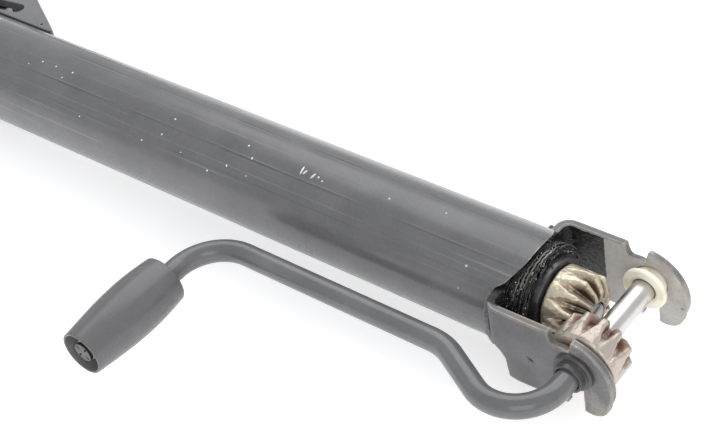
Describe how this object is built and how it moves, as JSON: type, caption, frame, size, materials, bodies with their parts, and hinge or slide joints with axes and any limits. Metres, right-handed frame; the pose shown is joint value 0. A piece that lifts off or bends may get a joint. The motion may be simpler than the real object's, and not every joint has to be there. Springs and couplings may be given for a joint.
{
  "type": "column car jack",
  "caption": "Side-lift column jack: slotted round tube, screw spindle turned by a hand crank through bevel gears, lifting arm on a sliding carriage, hinged foot.",
  "frame": {"origin": "centre of the foot plate's sole, on the column's axis", "axes": "+X along the column from the foot to the head, +Y towards the lifting arm, -Y towards the crank; the pins of the foot and the arm stand along Z"},
  "size_m": [0.5914, 0.3579, 0.074],
  "materials": {
    "black_paint": "satin black paint with chips and fine drawn lines",
    "bracket_steel": "dark painted steel, worn bright at its edges",
    "bright_steel": "turned bare steel",
    "yellow_zinc": "yellow passivated zinc, greasy",
    "browned_steel": "brown worn steel",
    "cream_plastic": "aged cream nylon",
    "black_plastic": "satin moulded plastic"
  },
  "bodies": {
    "column": {"column_tube": "black_paint", "head_bracket": "bracket_steel", "spindle_foot_bush": "cream_plastic", "bearing_race_lower": "bright_steel", "near_bush": "black_plastic", "far_bush": "cream_plastic", "foot_pin": "bright_steel", "foot_pin_clip": "bright_steel"},
    "spindle_drive": {"spindle": "bright_steel", "spindle_gear": "yellow_zinc", "spindle_gear_pin": "bright_steel", "spindle_collar": "bright_steel", "spindle_clip": "bright_steel", "bearing_race_upper": "bright_steel"},
    "bearing": {"bearing_cage": "yellow_zinc", "bearing_ball_1": "bright_steel", "bearing_ball_2": "bright_steel", "bearing_ball_3": "bright_steel", "bearing_ball_4": "bright_steel", "bearing_ball_5": "bright_steel", "bearing_ball_6": "bright_steel", "bearing_ball_7": "bright_steel", "bearing_ball_8": "bright_steel"},
    "crank": {"crank_rod": "black_paint", "crank_pinion": "browned_steel", "crank_pinion_pin": "bright_steel", "shaft_clip": "bright_steel", "grip_washer": "bright_steel"},
    "grip": {"crank_grip": "black_plastic"},
    "carriage": {"lift_nut": "bright_steel", "carriage_cheek_upper": "black_paint", "carriage_cheek_lower": "black_paint", "carriage_rivet_1": "bright_steel", "carriage_rivet_2": "bright_steel", "arm_stop_pin": "bright_steel", "arm_pivot_pin": "bright_steel", "arm_pivot_clip": "bright_steel"},
    "arm": {"arm_root": "black_paint", "arm_tube": "black_paint", "arm_rivet_1": "bright_steel", "arm_rivet_2": "bright_steel", "lift_peg": "bright_steel"},
    "foot": {"foot_plate": "black_paint"}
  },
  "joints": [
    {"name": "crank_turn", "type": "hinge", "parent": "column", "child": "crank", "pos_m": [0.575, 0, 0], "axis": [0, 1, 0], "range_deg": [0, 25200]},
    {"name": "spindle_turn", "type": "hinge", "parent": "column", "child": "spindle_drive", "pos_m": [0.575, 0, 0], "axis": [1, 0, 0], "range_deg": [-25200, 0]},
    {"name": "bearing_turn", "type": "hinge", "parent": "column", "child": "bearing", "pos_m": [0.575, 0, 0], "axis": [1, 0, 0], "range_deg": [-12600, 0]},
    {"name": "carriage_travel", "type": "slide", "parent": "column", "child": "carriage", "axis": [1, 0, 0], "range_m": [0, 0.28]},
    {"name": "grip_spin", "type": "hinge", "parent": "crank", "child": "grip", "pos_m": [0.3957, -0.0733, 0], "axis": [0, 1, 0], "continuous": true},
    {"name": "arm_fold", "type": "hinge", "parent": "carriage", "child": "arm", "pos_m": [0.138, 0.057, 0], "axis": [0, 0, -1], "range_deg": [0, 90]},
    {"name": "foot_tilt", "type": "hinge", "parent": "column", "child": "foot", "pos_m": [0.03, 0, 0], "axis": [0, 0, 1], "range_deg": [-18, 18]}
  ],
  "couplings": [
    {"joint": "spindle_turn", "follows": "crank_turn", "ratio": -1},
    {"joint": "bearing_turn", "follows": "crank_turn", "ratio": -0.5},
    {"joint": "carriage_travel", "follows": "crank_turn", "m_per_rad": 0.00063662}
  ]
}
